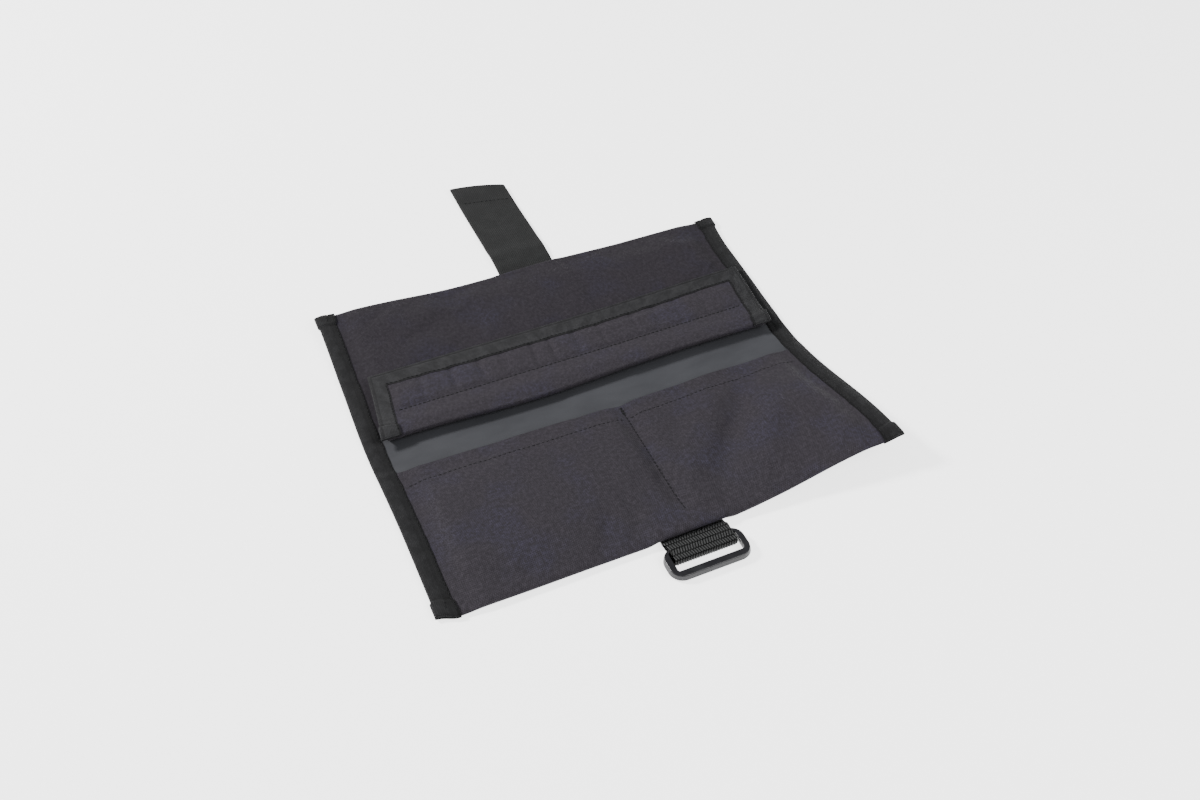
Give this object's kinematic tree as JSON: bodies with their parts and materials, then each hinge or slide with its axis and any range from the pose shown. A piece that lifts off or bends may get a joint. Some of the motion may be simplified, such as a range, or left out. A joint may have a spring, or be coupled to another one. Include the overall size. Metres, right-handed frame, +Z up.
{
  "type": "fold-over fabric pouch",
  "caption": "Fold-over fabric pouch laid open: divided front pocket, flapped rear pocket, bound sides, webbing strap and rectangular ring to close it.",
  "frame": {"origin": "centre of the open pouch's outline, on the underside of the webbing that runs below it (the table plane)", "axes": "+X to the right across the pouch, +Y from the ring towards the strap, +Z up out of the table"},
  "size_m": [0.29, 0.3877, 0.0127],
  "materials": {
    "woven_cloth": "charcoal woven polyester with a faint purple cast, matt",
    "coated_lining": "grey coated lining, satin",
    "binding_tape": "greenish-black woven binding tape, matt",
    "webbing": "black woven webbing, matt",
    "sewing_thread": "black polyester thread",
    "hook_and_loop": "black hook-and-loop tape",
    "ring_plastic": "black moulded acetal, semi-gloss"
  },
  "bodies": {
    "front_half": {"front_shell": "woven_cloth", "front_lining": "coated_lining", "front_pocket_panel": "woven_cloth", "divider_stitching": "sewing_thread", "left_hem_stitching": "sewing_thread", "right_hem_stitching": "sewing_thread", "front_webbing": "webbing", "left_front_binding": "binding_tape", "right_front_binding": "binding_tape", "left_front_binding_stitching": "sewing_thread", "right_front_binding_stitching": "sewing_thread"},
    "rear_half": {"rear_shell": "woven_cloth", "rear_lining": "coated_lining", "rear_pocket_panel": "woven_cloth", "rear_webbing": "webbing", "flap_base_strip": "woven_cloth", "flap_base_stitching": "sewing_thread", "rear_loop_strip": "hook_and_loop", "left_rear_binding": "binding_tape", "right_rear_binding": "binding_tape", "left_rear_binding_stitching": "sewing_thread", "right_rear_binding_stitching": "sewing_thread"},
    "flap": {"flap": "woven_cloth", "flap_binding": "binding_tape", "flap_binding_stitching": "sewing_thread", "flap_hook_strip": "hook_and_loop", "flap_hook_stitching": "sewing_thread"},
    "strap": {"strap": "webbing", "strap_loop_patch": "hook_and_loop"},
    "strap_tip": {"strap_tip": "webbing", "strap_hook_patch": "hook_and_loop", "strap_tip_stitching": "sewing_thread"},
    "ring_tab": {"ring_tab": "webbing", "ring_tab_stitching": "sewing_thread"},
    "ring": {"rectangular_ring": "ring_plastic"}
  },
  "joints": [
    {"name": "main_fold", "type": "hinge", "parent": "front_half", "child": "rear_half", "pos_m": [0, -0.008, 0.012], "axis": [1, 0, 0], "range_deg": [0, 172]},
    {"name": "flap_hinge", "type": "hinge", "parent": "rear_half", "child": "flap", "pos_m": [0, 0.0012, 0.0071], "axis": [-1, 0, 0], "range_deg": [-158, 0]},
    {"name": "strap_fold", "type": "hinge", "parent": "rear_half", "child": "strap", "pos_m": [0.0052, 0.136, 0.0028], "axis": [1, 0, 0], "range_deg": [0, 98]},
    {"name": "strap_tip_fold", "type": "hinge", "parent": "strap", "child": "strap_tip", "pos_m": [0.0052, 0.1733, -0.00255], "axis": [-1, 0, 0], "range_deg": [0, 176]},
    {"name": "tab_fold", "type": "hinge", "parent": "front_half", "child": "ring_tab", "pos_m": [0.0052, -0.13, 0.0012], "axis": [1, 0, 0], "range_deg": [-75, 0]},
    {"name": "ring_swivel", "type": "hinge", "parent": "ring_tab", "child": "ring", "pos_m": [0.0052, -0.1387, 0.0036], "axis": [1, 0, 0], "range_deg": [-60, 0]}
  ]
}
